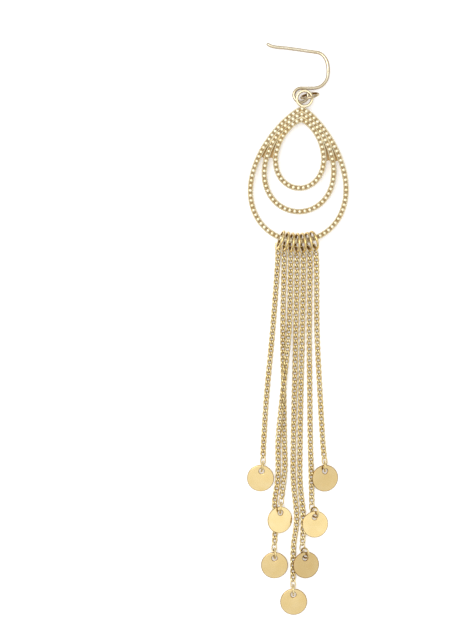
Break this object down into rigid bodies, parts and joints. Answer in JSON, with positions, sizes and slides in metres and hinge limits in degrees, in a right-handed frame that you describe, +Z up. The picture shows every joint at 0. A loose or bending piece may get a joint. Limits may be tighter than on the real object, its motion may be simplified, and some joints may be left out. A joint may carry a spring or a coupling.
{
  "type": "dangle earring",
  "caption": "Gold-coloured fringe earring: ear wire, nested beaded teardrop frame and a fan of fine chains that end in plain discs, lying flat.",
  "frame": {"origin": "middle of the bounding box's bottom face, on the surface that the earring lies on", "axes": "+Y from the discs to the ear wire, +Z up from the surface to the front of the earring"},
  "size_m": [0.0226, 0.1272, 0.0045],
  "materials": {
    "wire_gold": "polished",
    "frame_gold": "polished",
    "chain_gold": "polished",
    "disc_gold": "polished"
  },
  "bodies": {
    "root": {"ear_hook": "wire_gold", "link_ring": "wire_gold", "teardrop_frame": "frame_gold", "chain_ring_1": "chain_gold", "chain_ring_2": "chain_gold", "chain_ring_3": "chain_gold", "chain_ring_4": "chain_gold", "chain_ring_5": "chain_gold", "chain_ring_6": "chain_gold", "chain_ring_7": "chain_gold", "chain_1": "chain_gold", "chain_2": "chain_gold", "chain_3": "chain_gold", "chain_4": "chain_gold", "chain_5": "chain_gold", "chain_6": "chain_gold", "chain_7": "chain_gold", "disc_ring_1": "chain_gold", "disc_ring_2": "chain_gold", "disc_ring_3": "chain_gold", "disc_ring_4": "chain_gold", "disc_ring_5": "chain_gold", "disc_ring_6": "chain_gold", "disc_ring_7": "chain_gold", "disc_1": "disc_gold", "disc_2": "disc_gold", "disc_3": "disc_gold", "disc_4": "disc_gold", "disc_5": "disc_gold", "disc_6": "disc_gold", "disc_7": "disc_gold"}
  },
  "joints": []
}
